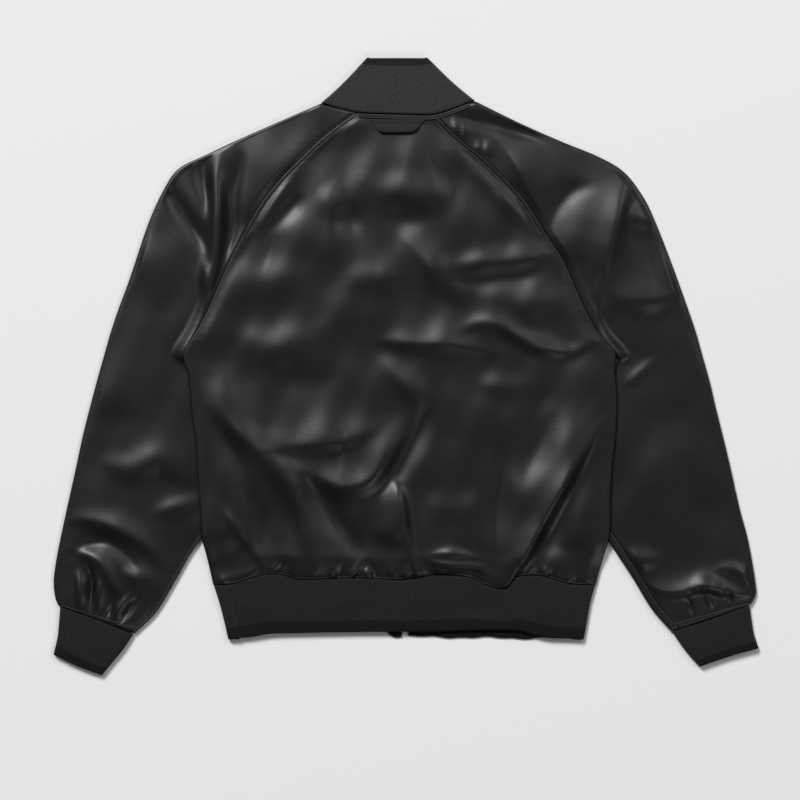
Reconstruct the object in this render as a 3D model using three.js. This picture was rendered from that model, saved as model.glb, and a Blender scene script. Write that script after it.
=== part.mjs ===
import * as THREE from 'three';

// An anthem jacket, laid flat with its back up. Millimetres. +X points to the wearer's right, +Y to the
// collar and +Z up. The fronts and the undersides of the sleeves rest on z = 0.

// Cloth
const SATIN = 2;        // satin shell and its lining, worn as one layer
const RIB = 3;          // knitted rib, folded double
const TAPE = 1;         // neck tape, zip tapes and hanger loop
const SEAM = 0.5;       // space between two pieces that are sewn together
const AIR = 3;          // space between the lower and the upper layer
const SKIN = 0.35;      // space under a tape that lies on a panel

// Heights of the middles of the layers
const SATIN_LOW = SATIN / 2;
const SATIN_TOP = SATIN * 1.5 + AIR;
const RIB_LOW = RIB / 2;
const RIB_TOP = RIB * 1.5 + AIR;
const PUFF = 0.8;       // extra height of the back, away from its seams
const LIFT = 7.8;       // height of the body's sides, where they lie on the sleeves' inner edges

// Lengths along the body
const HEM_Y = -272.5;           // seam between the fronts and their rib
const ARMPIT_Y = 10;            // highest point of the side folds
const FRONT_NECK_Y = 228;       // front neck point, at the zip
const COLLAR_TOP_Y = 385;       // upper edge of the collar, at the back
const COLLAR_HEIGHT = 65;
const HEM_DROP_Y = -338;        // lower edge of the fronts' rib
const ZIP_TOP_Y = 212;
const ZIP_BOTTOM_Y = -322;
const ZIP_SPACE = 4.9;            // from the middle of the zip to the edge of each front
const SIDE_RETURN = 4;          // how far the fronts come round onto the back
const HEM_RETURN = 10;          // the same on the rib
const UNDERARM_RETURN = 8;      // how far the sleeve's lower layer comes round to its seam

// Facets
const FOLD_STEPS = 4;           // facets round each folded edge
const RETURN_STEPS = 2;
const TURN_COLUMNS = FOLD_STEPS + RETURN_STEPS;
const TURN_PITCH = 3;           // spacing of the same columns where they lie flat
const SLEEVE_COLUMNS = 7;
const FRONT_COLUMNS = 5;
const BACK_COLUMNS = 20;
const HEM_COLUMNS = 20;
const CUFF_COLUMNS = 4;

const COLOURS = { satin: 0x1d1d1e, rib: 0x262627, tape: 0x161617, metal: 0x2b2b2d };

// Rows of numbers under the names of their columns
function table(names, rows) {
  const keys = names.split(' ');
  return rows.map((row) => Object.fromEntries(keys.map((key, i) => [key, row[i]])));
}

// The sleeves from the neck to the armpit: seam is on the back raglan seam, fold on the outer edge and
// under on the front raglan seam, below. Each row of the sleeve runs from seam over fold to under.
const RAGLAN_COLUMNS = 'seamX seamY foldX foldY underX underY';
const LEFT_RAGLAN = table(RAGLAN_COLUMNS, [
  [-61, 317, -107, 328, -92, 268],
  [-101, 287, -160, 305, -118, 240],
  [-129, 261, -212, 282, -140, 214],
  [-155, 235, -250, 264, -160, 188],
  [-180, 204, -284, 247, -180, 160],
  [-202, 166, -303, 220, -198, 132],
  [-222, 127, -322, 178, -217, 102],
  [-244, 76, -345, 110, -238, 68],
  [-260, 44, -359, 72, -258, 40],
  [-276, 16, -369, 42, -276, 14],
]);
const RIGHT_RAGLAN = table(RAGLAN_COLUMNS, [
  [36, 314, 87, 331, 72, 268],
  [65, 285, 144, 303, 98, 242],
  [95, 261, 196, 280, 122, 214],
  [124, 233, 240, 262, 144, 188],
  [149, 205, 272, 243, 164, 160],
  [177, 161, 295, 214, 182, 132],
  [196, 131, 310, 184, 200, 102],
  [214, 90, 332, 128, 220, 68],
  [236, 46, 350, 78, 240, 42],
  [260, 17, 361, 46, 260, 15],
]);

// The sleeves from the armpit to the cuff: inner is the underarm fold, which the body covers at first,
// and fold is the outer edge.
const ARM_COLUMNS = 'innerX innerY foldX foldY';
const LEFT_ARM = table(ARM_COLUMNS, [
  [-280, 3, -377, 14],
  [-262, -22, -386, -18],
  [-238, -50, -395, -52],
  [-226, -88, -404, -88],
  [-224, -132, -413, -130],
  [-232, -176, -423, -175],
  [-254, -212, -431, -212],
  [-271, -238, -437, -243],
  [-288, -268, -440, -268],
  [-311, -306, -438, -288],
  [-338, -333, -434, -298],
]);
const RIGHT_ARM = table(ARM_COLUMNS, [
  [264, 4, 370, 14],
  [248, -22, 379, -18],
  [226, -50, 387, -52],
  [214, -88, 396, -88],
  [212, -132, 406, -130],
  [222, -176, 416, -175],
  [250, -214, 426, -212],
  [267, -240, 432, -243],
  [284, -266, 436, -268],
  [306, -302, 437, -284],
  [330, -330, 431, -296],
]);

// The rib cuffs, from the sleeve's seam to the open end
const CUFF_NAMES = 'innerX innerY outerX outerY';
const LEFT_CUFF = table(CUFF_NAMES, [
  [-340.4, -333.9, -431.6, -299.7],
  [-352, -352, -433, -318],
  [-366, -369, -435, -338],
  [-379, -385, -440, -359],
]);
const RIGHT_CUFF = table(CUFF_NAMES, [
  [332.2, -330.7, 428.6, -297.8],
  [343, -347, 431, -315],
  [354, -362, 434, -334],
  [366, -376, 440, -353],
]);

// The side folds of the body from hem to armpit. tuck is how much of the sleeve lies under the body
// there, and lift the share of LIFT.
const SIDES = table('y left right tuck lift', [
  [-272.5, -241, 237, 0, 0],
  [-250, -246, 243, 0, 0],
  [-232, -250, 248, 0, 0.55],
  [-215, -254, 253, 14, 1],
  [-190, -256, 255, 30, 1],
  [-160, -258, 255, 40, 1],
  [-128, -260, 257, 48, 1],
  [-95, -262, 261, 51, 1],
  [-62, -267, 263, 46, 1],
  [-36, -269, 263, 32, 1],
  [-12, -272, 261, 16, 1],
  [ARMPIT_Y, -275, 259, 4, 1],
]);
// How fast the lift fades up the raglan seams, from the neck to the armpit
const RAGLAN_LIFT = [0, 0, 0, 0, 0, 0.05, 0.2, 0.5, 0.8, 1];

// The rib hem: height of its upper and lower edge across the back, and of its side folds
const HEM_BACK = table('x seamY dropY', [
  [-241, -272.5, -340],
  [-180, -261, -334],
  [-130, -266, -332],
  [0, -266, -330],
  [60, -261, -328.5],
  [125, -270, -328],
  [165, -263, -337],
  [237, -272.5, -341],
]);
const HEM_SIDES = table('along left right', [
  [0, -240, 236],
  [0.33, -233, 230],
  [0.67, -227, 226],
  [1, -222, 222],
]);

// The largest folds in the cloth: a crest from one point by way of another to a third
const FOLD_NAMES = 'x1 y1 x2 y2 x3 y3 reach height';
const BODY_FOLDS = table(FOLD_NAMES, [
  [-244, -52, -152, -135, -112, -240, 34, 6],
  [-136, -120, -60, -126, 5, -48, 34, 6],
  [-170, -92, -107, -73, -39, -60, 26, 3.5],
  [71, 52, 136, 52, 230, 32, 30, 5],
  [-32, 40, 30, 33, 105, 21, 28, 4],
  [240, -43, 187, -110, 142, -180, 30, 4],
  [228, -85, 172, -190, 132, -262, 28, 6],
  [59, 133, 120, 142, 175, 150, 28, 3],
  [-185, 185, -150, 150, -80, 110, 32, 3],
  [5, 176, 35, 140, 70, 96, 30, 3],
]);
const SLEEVE_FOLDS = table(FOLD_NAMES, [
  [-232, 255, -236, 170, -256, 56, 26, 6],
  [-418, -192, -376, -189, -314, -235, 30, 4],
  [262, 215, 254, 160, 236, 72, 30, 5],
  [300, -262, 360, -276, 428, -276, 24, 4],
  [300, 96, 330, 30, 345, -40, 30, 3],
]);

const { lerp, smoothstep } = THREE.MathUtils;

// Middle of the zip, which leans a little
function middleX(y) {
  return lerp(-1, -9, (y - HEM_DROP_Y) / (FRONT_NECK_Y - HEM_DROP_Y));
}

// Value of a column at x, between the rows on either side
function across(rows, key, at, name) {
  const i = Math.min(Math.max(rows.findIndex((row) => row[key] > at), 1), rows.length - 1);
  const share = THREE.MathUtils.clamp((at - rows[i - 1][key]) / (rows[i][key] - rows[i - 1][key]), 0, 1);
  return lerp(rows[i - 1][name], rows[i][name], share);
}

// Height that the folds add at a point: a soft crest along each, lower at its ends
function foldHeight(folds, x, y) {
  let height = 0;
  for (const fold of folds) {
    const crest = new THREE.QuadraticBezierCurve(
      new THREE.Vector2(fold.x1, fold.y1),
      new THREE.Vector2(2 * fold.x2 - (fold.x1 + fold.x3) / 2, 2 * fold.y2 - (fold.y1 + fold.y3) / 2),
      new THREE.Vector2(fold.x3, fold.y3),
    );
    for (let i = 0; i <= 20; i += 1) {
      const t = i / 20;
      const distance = crest.getPoint(t).distanceTo(new THREE.Vector2(x, y));
      if (distance < fold.reach) {
        const profile = Math.cos((distance / fold.reach) * (Math.PI / 2)) ** 2;
        height = Math.max(height, fold.height * profile * Math.sin(Math.PI * lerp(0.12, 0.88, t)));
      }
    }
  }
  return height;
}

// A wall of cloth: middle is a grid of points half way through it, as rows of columns
function wall(middle, thickness, closed = false) {
  const rows = middle.length;
  const columns = middle[0].length;
  const wrap = (c) => (closed ? (c + columns) % columns : THREE.MathUtils.clamp(c, 0, columns - 1));
  const positions = [];
  for (const side of [1, -1]) {
    for (let r = 0; r < rows; r += 1) {
      for (let c = 0; c < columns; c += 1) {
        const alongRow = middle[r][wrap(c + 1)].clone().sub(middle[r][wrap(c - 1)]);
        const acrossRows = middle[Math.min(r + 1, rows - 1)][c].clone().sub(middle[Math.max(r - 1, 0)][c]);
        const normal = alongRow.cross(acrossRows).normalize();
        positions.push(...middle[r][c].clone().addScaledVector(normal, (side * thickness) / 2).toArray());
      }
    }
  }
  const outer = (r, c) => r * columns + wrap(c);
  const inner = (r, c) => rows * columns + outer(r, c);
  const triangles = [];
  const quad = (a, b, c, d) => triangles.push(a, b, c, a, c, d);
  const spans = closed ? columns : columns - 1;
  for (let r = 0; r < rows - 1; r += 1) {
    for (let c = 0; c < spans; c += 1) {
      quad(outer(r, c), outer(r, c + 1), outer(r + 1, c + 1), outer(r + 1, c));
      quad(inner(r, c), inner(r + 1, c), inner(r + 1, c + 1), inner(r, c + 1));
    }
    if (!closed) {
      quad(outer(r, 0), outer(r + 1, 0), inner(r + 1, 0), inner(r, 0));
      quad(outer(r + 1, spans), outer(r, spans), inner(r, spans), inner(r + 1, spans));
    }
  }
  for (let c = 0; c < spans; c += 1) {
    quad(outer(0, c + 1), outer(0, c), inner(0, c), inner(0, c + 1));
    quad(outer(rows - 1, c), outer(rows - 1, c + 1), inner(rows - 1, c + 1), inner(rows - 1, c));
  }
  const geometry = new THREE.BufferGeometry();
  geometry.setAttribute('position', new THREE.Float32BufferAttribute(positions, 3));
  geometry.setIndex(facingOut(positions, triangles));
  geometry.computeVertexNormals();
  return geometry;
}

// The same triangles, turned round if they face into the solid
function facingOut(positions, triangles) {
  const corner = (i) => new THREE.Vector3().fromArray(positions, 3 * i);
  let volume = 0;
  for (let i = 0; i < triangles.length; i += 3) {
    volume += corner(triangles[i]).dot(corner(triangles[i + 1]).cross(corner(triangles[i + 2])));
  }
  return volume > 0 ? triangles : [...triangles].reverse();
}

const flat = (x, y) => new THREE.Vector2(x, y);
const raised = (point, z) => new THREE.Vector3(point.x, point.y, z);

// Points round a folded edge, from one layer to the other. edge is the outermost point of the cloth,
// from and to are the heights of the two middles, and inward points back into the garment.
function turn(edge, inwardFrom, inwardTo, from, to, thickness) {
  const radius = Math.abs(to - from) / 2;
  const points = [];
  for (let i = 0; i <= FOLD_STEPS; i += 1) {
    const angle = (i / FOLD_STEPS) * Math.PI;
    const inward = inwardFrom.clone().lerp(inwardTo, i / FOLD_STEPS).normalize();
    const reach = thickness / 2 + radius * (1 - Math.sin(angle));
    points.push(raised(edge.clone().addScaledVector(inward, reach), lerp(from, to, (1 - Math.cos(angle)) / 2)));
  }
  return points;
}

const towards = (from, to) => to.clone().sub(from).normalize();

// Share of an edge's extra height that is left at some distance from the edge
const fade = (distance, start, length) => 1 - smoothstep(distance, start, start + length);

// Extra heights of the back raglan seam at each row of a sleeve
function raglanHeights(raglan) {
  return raglan.map((row, i) => ({
    body: LIFT * RAGLAN_LIFT[i] + foldHeight(BODY_FOLDS, row.seamX, row.seamY),
    sleeve: foldHeight(SLEEVE_FOLDS, row.seamX, row.seamY),
    low: LIFT * RAGLAN_LIFT[i],
  }));
}

// Upper layer of a sleeve, from its seam to its outer fold
function sleeveTop(start, fold, extra) {
  const inward = towards(fold, start);
  const end = fold.clone().addScaledVector(inward, SATIN / 2 + (SATIN_TOP - SATIN_LOW) / 2);
  const points = [];
  for (let c = 0; c < SLEEVE_COLUMNS; c += 1) {
    const point = start.clone().lerp(end, c / SLEEVE_COLUMNS);
    const own = foldHeight(SLEEVE_FOLDS, point.x, point.y);
    const edgeFade = smoothstep(point.distanceTo(end), 0, 25);
    points.push(raised(point, SATIN_TOP + extra * fade(point.distanceTo(start), 0, 45) + own * edgeFade));
  }
  return points;
}

// One row of a sleeve above the armpit: over the outer fold, down to the front raglan seam
function raglanRow(row, heights) {
  const fold = flat(row.foldX, row.foldY);
  const seam = flat(row.seamX, row.seamY);
  const under = flat(row.underX, row.underY);
  const start = seam.clone().addScaledVector(towards(seam, fold), SEAM);
  const end = under.clone().addScaledVector(towards(under, fold), SEAM);
  const upper = sleeveTop(start, fold, heights.body);
  const round = turn(fold, towards(fold, seam), towards(fold, under), SATIN_TOP, SATIN_LOW, SATIN);
  const below = flat(round.at(-1).x, round.at(-1).y);
  const near = end.clone().addScaledVector(towards(end, below), TURN_COLUMNS * TURN_PITCH);
  const lower = [];
  for (let c = 1; c <= SLEEVE_COLUMNS; c += 1) {
    lower.push(below.clone().lerp(near, c / SLEEVE_COLUMNS));
  }
  for (let c = 1; c <= TURN_COLUMNS; c += 1) {
    lower.push(near.clone().lerp(end, c / TURN_COLUMNS));
  }
  const lowerHeight = (point) => SATIN_LOW + heights.low * fade(point.distanceTo(end), 0, 30);
  return [...upper, ...round, ...lower.map((point) => raised(point, lowerHeight(point)))];
}

// One row of a sleeve below the armpit: a flattened tube, open by SEAM at the underarm seam
function armRow(row) {
  const fold = flat(row.foldX, row.foldY);
  const inner = flat(row.innerX, row.innerY);
  const outward = towards(inner, fold);
  const inward = outward.clone().negate();
  const radius = (SATIN_TOP - SATIN_LOW) / 2;
  const seam = inner.clone().addScaledVector(outward, SATIN / 2 + radius + UNDERARM_RETURN);
  const upper = sleeveTop(seam, fold, 0);
  const round = turn(fold, inward, inward, SATIN_TOP, SATIN_LOW, SATIN);
  const innerRound = turn(inner, outward, outward, SATIN_LOW, SATIN_TOP, SATIN);
  const lower = [];
  for (let c = 1; c < SLEEVE_COLUMNS; c += 1) {
    lower.push(round.at(-1).clone().lerp(innerRound[0], c / SLEEVE_COLUMNS));
  }
  const last = raised(seam.clone().addScaledVector(inward, SEAM), upper[0].z);
  const comingBack = [];
  for (let c = 1; c <= RETURN_STEPS; c += 1) {
    comingBack.push(innerRound.at(-1).clone().lerp(last, c / RETURN_STEPS));
  }
  return [...upper, ...round, ...lower, ...innerRound, ...comingBack];
}

function sleeve(raglan, arm) {
  const heights = raglanHeights(raglan);
  return wall([...raglan.map((row, i) => raglanRow(row, heights[i])), ...arm.map(armRow)], SATIN);
}

// The side seam of the body at one height: where the front ends, on the upper layer
function sideSeam(row, side) {
  const radius = (SATIN_TOP - SATIN_LOW) / 2;
  return row[side] + Math.sign(-row[side]) * (SATIN / 2 + radius + SIDE_RETURN);
}

// One row of the back, between two points of its edge. rise and tuck tell how its ends are raised.
function backRow(left, right, share) {
  const points = [];
  const step = towards(left.point, right.point);
  const start = left.point.clone().addScaledVector(step, SEAM);
  const end = right.point.clone().addScaledVector(step, -SEAM);
  for (let c = 0; c <= BACK_COLUMNS; c += 1) {
    const point = start.clone().lerp(end, c / BACK_COLUMNS);
    const fromLeft = point.distanceTo(start);
    const fromRight = point.distanceTo(end);
    if (share < 0.2) {
      point.y += (across(HEM_BACK, 'x', point.x, 'seamY') + SEAM - HEM_Y) * (1 - share / 0.2) ** 2;
    }
    const inside = smoothstep(Math.min(fromLeft, fromRight), 0, 60) * smoothstep(share, 0, 0.1);
    const edges = left.rise * fade(fromLeft, left.tuck + 6, 55) + right.rise * fade(fromRight, right.tuck + 6, 55)
      + left.sleeve * fade(fromLeft, 0, 30) + right.sleeve * fade(fromRight, 0, 30);
    const own = foldHeight(BODY_FOLDS, point.x, point.y);
    points.push(raised(point, SATIN_TOP + PUFF * inside + edges + own));
  }
  return points;
}

function back() {
  const rows = [];
  const total = SIDES.length + LEFT_RAGLAN.length - 1;
  for (const [i, row] of SIDES.entries()) {
    const ends = ['left', 'right'].map((side) => ({
      point: flat(sideSeam(row, side), row.y), rise: LIFT * row.lift, tuck: row.tuck, sleeve: 0,
    }));
    rows.push(backRow(ends[0], ends[1], i / total));
  }
  const heights = [LEFT_RAGLAN, RIGHT_RAGLAN].map(raglanHeights);
  for (let i = LEFT_RAGLAN.length - 1; i >= 0; i -= 1) {
    const ends = [LEFT_RAGLAN, RIGHT_RAGLAN].map((raglan, side) => ({
      point: flat(raglan[i].seamX, raglan[i].seamY),
      rise: LIFT * RAGLAN_LIFT[i],
      tuck: 0,
      sleeve: heights[side][i].sleeve,
    }));
    rows.push(backRow(ends[0], ends[1], (total - i) / total));
  }
  return wall(rows, SATIN);
}

// Where the front climbs from the floor onto the sleeve: distance from the sleeve's inner edge, share of the lift
const RAMP = [[36, 0], [19, 0.5], [3, 1]];

// Sag of the front neckline below the straight line from raglan seam to zip
const neckSag = (share) => 11 * 4 * share * (1 - share);

// A front: from the zip over the floor, round the side fold and onto the back as far as the side seam
function front(side, raglan) {
  const sign = side === 'left' ? -1 : 1;
  const inward = flat(-sign, 0);
  const total = SIDES.length + raglan.length - 1;
  const zipPoint = (i) => {
    const y = lerp(HEM_Y, FRONT_NECK_Y, i / total);
    return flat(middleX(y) + sign * ZIP_SPACE, y);
  };
  const rows = SIDES.map((row, i) => {
    const start = zipPoint(i);
    const rise = LIFT * row.lift;
    const top = SATIN_TOP + rise + foldHeight(BODY_FOLDS, sideSeam(row, side), row.y);
    const round = turn(flat(row[side], row.y), inward, inward, SATIN_LOW + rise, top, SATIN);
    const floor = [start.x, lerp(start.x, row[side], 0.5)].map((x) => new THREE.Vector3(x, row.y, SATIN_LOW));
    for (const [distance, share] of RAMP) {
      const x = row[side] - sign * (row.tuck + distance);
      floor.push(new THREE.Vector3(x, row.y, SATIN_LOW + rise * share));
    }
    const last = new THREE.Vector3(sideSeam(row, side), row.y, top);
    const comingBack = [];
    for (let c = 1; c <= RETURN_STEPS; c += 1) {
      comingBack.push(round.at(-1).clone().lerp(last, c / RETURN_STEPS));
    }
    return [...floor, ...round, ...comingBack];
  });
  for (let i = raglan.length - 1; i >= 0; i -= 1) {
    const share = (raglan.length - 1 - i) / (raglan.length - 1);
    const start = zipPoint(total - i);
    const under = flat(raglan[i].underX, raglan[i].underY);
    const end = under.clone().addScaledVector(towards(under, start), SEAM);
    const near = end.clone().addScaledVector(towards(end, start), TURN_COLUMNS * TURN_PITCH);
    const row = [];
    for (let c = 0; c < FRONT_COLUMNS; c += 1) {
      row.push(start.clone().lerp(near, (c / FRONT_COLUMNS) ** 0.6));
    }
    for (let c = 0; c <= TURN_COLUMNS; c += 1) {
      row.push(near.clone().lerp(end, c / TURN_COLUMNS));
    }
    const width = start.distanceTo(end);
    rows.push(row.map((point) => {
      const sag = neckSag(point.distanceTo(start) / width) * share ** 4;
      const height = SATIN_LOW + LIFT * RAGLAN_LIFT[i] * fade(point.distanceTo(end), 4, 26);
      return raised(flat(point.x, point.y - sag), height);
    }));
  }
  return wall(rows, SATIN);
}

// The rib under the back, from side seam to side seam
function hemBack() {
  const rows = HEM_SIDES.map((row) => {
    const reach = RIB / 2 + (RIB_TOP - RIB_LOW) / 2 + HEM_RETURN + SEAM;
    const points = [];
    for (let c = 0; c <= HEM_COLUMNS; c += 1) {
      const x = lerp(row.left + reach, row.right - reach, c / HEM_COLUMNS);
      const seamY = across(HEM_BACK, 'x', x, 'seamY') - 2 * SEAM;
      const dropY = across(HEM_BACK, 'x', x, 'dropY');
      points.push(new THREE.Vector3(x, lerp(seamY, dropY, row.along), RIB_TOP));
    }
    return points;
  });
  return wall(rows, RIB);
}

// The rib under a front, round the side fold and onto the back
function hemFront(side) {
  const sign = side === 'left' ? -1 : 1;
  const inward = flat(-sign, 0);
  const rows = HEM_SIDES.map((row) => {
    const corner = HEM_BACK.at(side === 'left' ? 0 : -1).dropY;
    const topY = HEM_Y - SEAM;
    const sideY = lerp(topY, corner, row.along);
    const zipY = lerp(topY, HEM_DROP_Y, row.along);
    const round = turn(flat(row[side], sideY), inward, inward, RIB_LOW, RIB_TOP, RIB);
    const start = new THREE.Vector3(middleX(zipY) + sign * ZIP_SPACE, zipY, RIB_LOW);
    const floor = [];
    for (let c = 0; c < FRONT_COLUMNS; c += 1) {
      floor.push(start.clone().lerp(round[0], c / FRONT_COLUMNS));
    }
    const last = round.at(-1).clone();
    last.x -= sign * HEM_RETURN;
    const comingBack = [];
    for (let c = 1; c <= RETURN_STEPS; c += 1) {
      comingBack.push(round.at(-1).clone().lerp(last, c / RETURN_STEPS));
    }
    return [...floor, ...round, ...comingBack];
  });
  return wall(rows, RIB);
}

// A cuff: a flattened tube of rib
function cuff(stations) {
  const rows = stations.map((row) => {
    const outer = flat(row.outerX, row.outerY);
    const inner = flat(row.innerX, row.innerY);
    const outward = towards(inner, outer);
    const inward = outward.clone().negate();
    const outerRound = turn(outer, inward, inward, RIB_TOP, RIB_LOW, RIB);
    const innerRound = turn(inner, outward, outward, RIB_LOW, RIB_TOP, RIB);
    const lower = [];
    const upper = [];
    for (let c = 1; c < CUFF_COLUMNS; c += 1) {
      lower.push(outerRound.at(-1).clone().lerp(innerRound[0], c / CUFF_COLUMNS));
      upper.push(innerRound.at(-1).clone().lerp(outerRound[0], c / CUFF_COLUMNS));
    }
    return [...outerRound, ...lower, ...innerRound, ...upper];
  });
  return wall(rows, RIB, true);
}

// Half of the lower edge of the collar's front, from the zip to the fold at the shoulder
function frontNeck(raglan, sign) {
  const neck = raglan[0];
  const zip = flat(middleX(FRONT_NECK_Y) + sign * ZIP_SPACE, FRONT_NECK_Y);
  const under = flat(neck.underX, neck.underY);
  const fold = flat(neck.foldX, neck.foldY);
  const points = [0, 0.2, 0.4, 0.6, 0.8, 1].map((share) => {
    const point = zip.clone().lerp(under, share);
    return flat(point.x, point.y - neckSag(share));
  });
  return [...points, under.clone().lerp(fold, 0.35), under.clone().lerp(fold, 0.7)];
}

// The collar: one strip of rib from front edge to front edge, folded over at both shoulders
const COLLAR_TOP = { left: -49, right: 27 };
const COLLAR_CLEARANCE = 1.9;     // from the satin's edge to the collar, which is thicker
function collar() {
  const seamLine = [];
  const topLine = [];
  const sides = [{ raglan: LEFT_RAGLAN, sign: -1, x: COLLAR_TOP.left }, { raglan: RIGHT_RAGLAN, sign: 1, x: COLLAR_TOP.right }];
  const halves = sides.map(({ raglan, sign, x }) => {
    const neck = raglan[0];
    const fold = flat(neck.foldX, neck.foldY);
    const tip = flat(x, COLLAR_TOP_Y);
    const crease = towards(fold, tip);
    const creaseInward = flat(-sign * Math.abs(crease.y), -Math.abs(crease.x));
    const seamInward = towards(fold, flat(neck.seamX, neck.seamY));
    const seamUnder = towards(fold, flat(neck.underX, neck.underY));
    const lower = frontNeck(raglan, sign);
    const shift = crease.clone().multiplyScalar(COLLAR_CLEARANCE);
    const zipTop = flat(middleX(FRONT_NECK_Y) + sign * ZIP_SPACE, FRONT_NECK_Y + COLLAR_HEIGHT);
    const foldTop = turn(tip, creaseInward, creaseInward, RIB_LOW, RIB_TOP, RIB);
    const foldSeam = turn(fold.clone().add(shift), seamUnder, seamInward, RIB_LOW, RIB_TOP, RIB);
    const upperEdge = new THREE.QuadraticBezierCurve(
      zipTop,
      flat(tip.x - sign * 6, zipTop.y + 8),
      flat(foldTop[0].x, foldTop[0].y),
    );
    const seamPoints = lower.map((point) => raised(point.clone().add(flat(-sign * 0.5, COLLAR_CLEARANCE)), RIB_LOW));
    const topPoints = lower.map((_, i) => raised(upperEdge.getPoint(i / lower.length), RIB_LOW));
    return { seam: [...seamPoints, ...foldSeam], top: [...topPoints, ...foldTop] };
  });
  seamLine.push(...halves[0].seam);
  topLine.push(...halves[0].top);
  const backSeam = [LEFT_RAGLAN[0], RIGHT_RAGLAN[0]].map((row) => flat(row.seamX, row.seamY + COLLAR_CLEARANCE));
  const ends = halves.map((half) => ({ seam: half.seam.at(-1), top: half.top.at(-1) }));
  const corners = [ends[0].seam, raised(backSeam[0], RIB_TOP), raised(backSeam[1], RIB_TOP), ends[1].seam];
  const steps = [2, 6, 2];
  let count = 0;
  for (const [i, parts] of steps.entries()) {
    for (let c = 1; c <= parts; c += 1) {
      count += 1;
      if (count < 10) {
        seamLine.push(corners[i].clone().lerp(corners[i + 1], c / parts));
        topLine.push(ends[0].top.clone().lerp(ends[1].top, count / 10));
      }
    }
  }
  seamLine.push(...halves[1].seam.reverse());
  topLine.push(...halves[1].top.reverse());
  const rows = [0, 0.25, 0.5, 0.75, 1].map((share) => seamLine.map((point, i) => point.clone().lerp(topLine[i], share)));
  return wall(rows, RIB);
}

// A flat trim on the upper back: rows of points on the panel, moved out by its own thickness
function onBack(rows, layers) {
  const clear = SATIN / 2 + SKIN + TAPE / 2 + (layers - 1) * (TAPE + SKIN);
  return wall(rows.map((row) => row.map((point) => raised(point, SATIN_TOP + PUFF + clear))), TAPE);
}

const NECK_TAPE = { width: 5, inset: 4 };
function neckTape() {
  const left = flat(LEFT_RAGLAN[0].seamX + NECK_TAPE.inset, LEFT_RAGLAN[0].seamY);
  const right = flat(RIGHT_RAGLAN[0].seamX - NECK_TAPE.inset, RIGHT_RAGLAN[0].seamY);
  const rows = [0.5, 0.5 + NECK_TAPE.width].map((drop) => {
    const points = [];
    for (let c = 0; c <= 8; c += 1) {
      const point = left.clone().lerp(right, c / 8);
      points.push(flat(point.x, point.y - drop));
    }
    return points;
  });
  return onBack(rows, 1);
}

// The hanger loop lies flat, a trapezium with rounded lower corners
const LOOP = table('y left right', [
  [307.2, -45, 23],
  [301, -39, 17],
  [296, -35, 12],
  [293, -31, 8],
  [291.5, -27, 4],
]);
function hangerLoop() {
  return onBack(LOOP.map((row) => [0, 0.25, 0.5, 0.75, 1].map((share) => flat(lerp(row.left, row.right, share), row.y))), 1);
}

// One side of the zip: half the chain between the fronts, and the tape that lies inside the front
const ZIP_SECTION = table('out up', [
  [0.3, 1.1],
  [2.2, 1.1],
  [3.4, 3],
  [8, 3],
  [13, 3],
]);
const ZIP_ROWS = table('y rise', [
  [ZIP_BOTTOM_Y, 1],
  [HEM_Y - 6, 1],
  [HEM_Y + 6, 0],
  [-20, 0],
  [ZIP_TOP_Y, 0],
]);
function zipSide(sign) {
  const rows = ZIP_ROWS.map(({ y, rise }) => ZIP_SECTION.map(({ out, up }) => (
    new THREE.Vector3(middleX(y) + sign * out, y, up > 2 ? up + rise : up)
  )));
  return wall(rows, TAPE);
}

// The slider stands closed at the top of the chain
const SLIDER = { width: 8, length: 11, height: 3.6, floor: 0.4 };
function slider() {
  const y = ZIP_TOP_Y + SEAM + SLIDER.length / 2;
  const half = SLIDER.width / 2;
  const shape = new THREE.Shape();
  shape.moveTo(-half * 0.6, -SLIDER.length / 2);
  shape.lineTo(half * 0.6, -SLIDER.length / 2);
  shape.lineTo(half, SLIDER.length / 2 - 2);
  shape.lineTo(half * 0.7, SLIDER.length / 2);
  shape.lineTo(-half * 0.7, SLIDER.length / 2);
  shape.lineTo(-half, SLIDER.length / 2 - 2);
  shape.closePath();
  const geometry = new THREE.ExtrudeGeometry(shape, { depth: SLIDER.height, bevelEnabled: false });
  geometry.translate(middleX(y), y, SLIDER.floor);
  return geometry;
}

const jacket = new THREE.Group();
function add(name, geometry, finish) {
  const looks = {
    satin: { color: COLOURS.satin, roughness: 0.4, metalness: 0 },
    rib: { color: COLOURS.rib, roughness: 0.95, metalness: 0 },
    tape: { color: COLOURS.tape, roughness: 0.8, metalness: 0 },
    metal: { color: COLOURS.metal, roughness: 0.35, metalness: 1 },
  };
  const mesh = new THREE.Mesh(geometry, new THREE.MeshStandardMaterial(looks[finish]));
  mesh.name = name;
  jacket.add(mesh);
}

add('back_panel', back(), 'satin');
add('front_left', front('left', LEFT_RAGLAN), 'satin');
add('front_right', front('right', RIGHT_RAGLAN), 'satin');
add('sleeve_left', sleeve(LEFT_RAGLAN, LEFT_ARM), 'satin');
add('sleeve_right', sleeve(RIGHT_RAGLAN, RIGHT_ARM), 'satin');
add('collar_rib', collar(), 'rib');
add('hem_back', hemBack(), 'rib');
add('hem_front_left', hemFront('left'), 'rib');
add('hem_front_right', hemFront('right'), 'rib');
add('cuff_left', cuff(LEFT_CUFF), 'rib');
add('cuff_right', cuff(RIGHT_CUFF), 'rib');
add('neck_tape', neckTape(), 'tape');
add('hanger_loop', hangerLoop(), 'tape');
add('zip_left', zipSide(-1), 'tape');
add('zip_right', zipSide(1), 'tape');
add('zip_slider', slider(), 'metal');

export default jacket;
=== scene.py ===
import math

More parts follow.
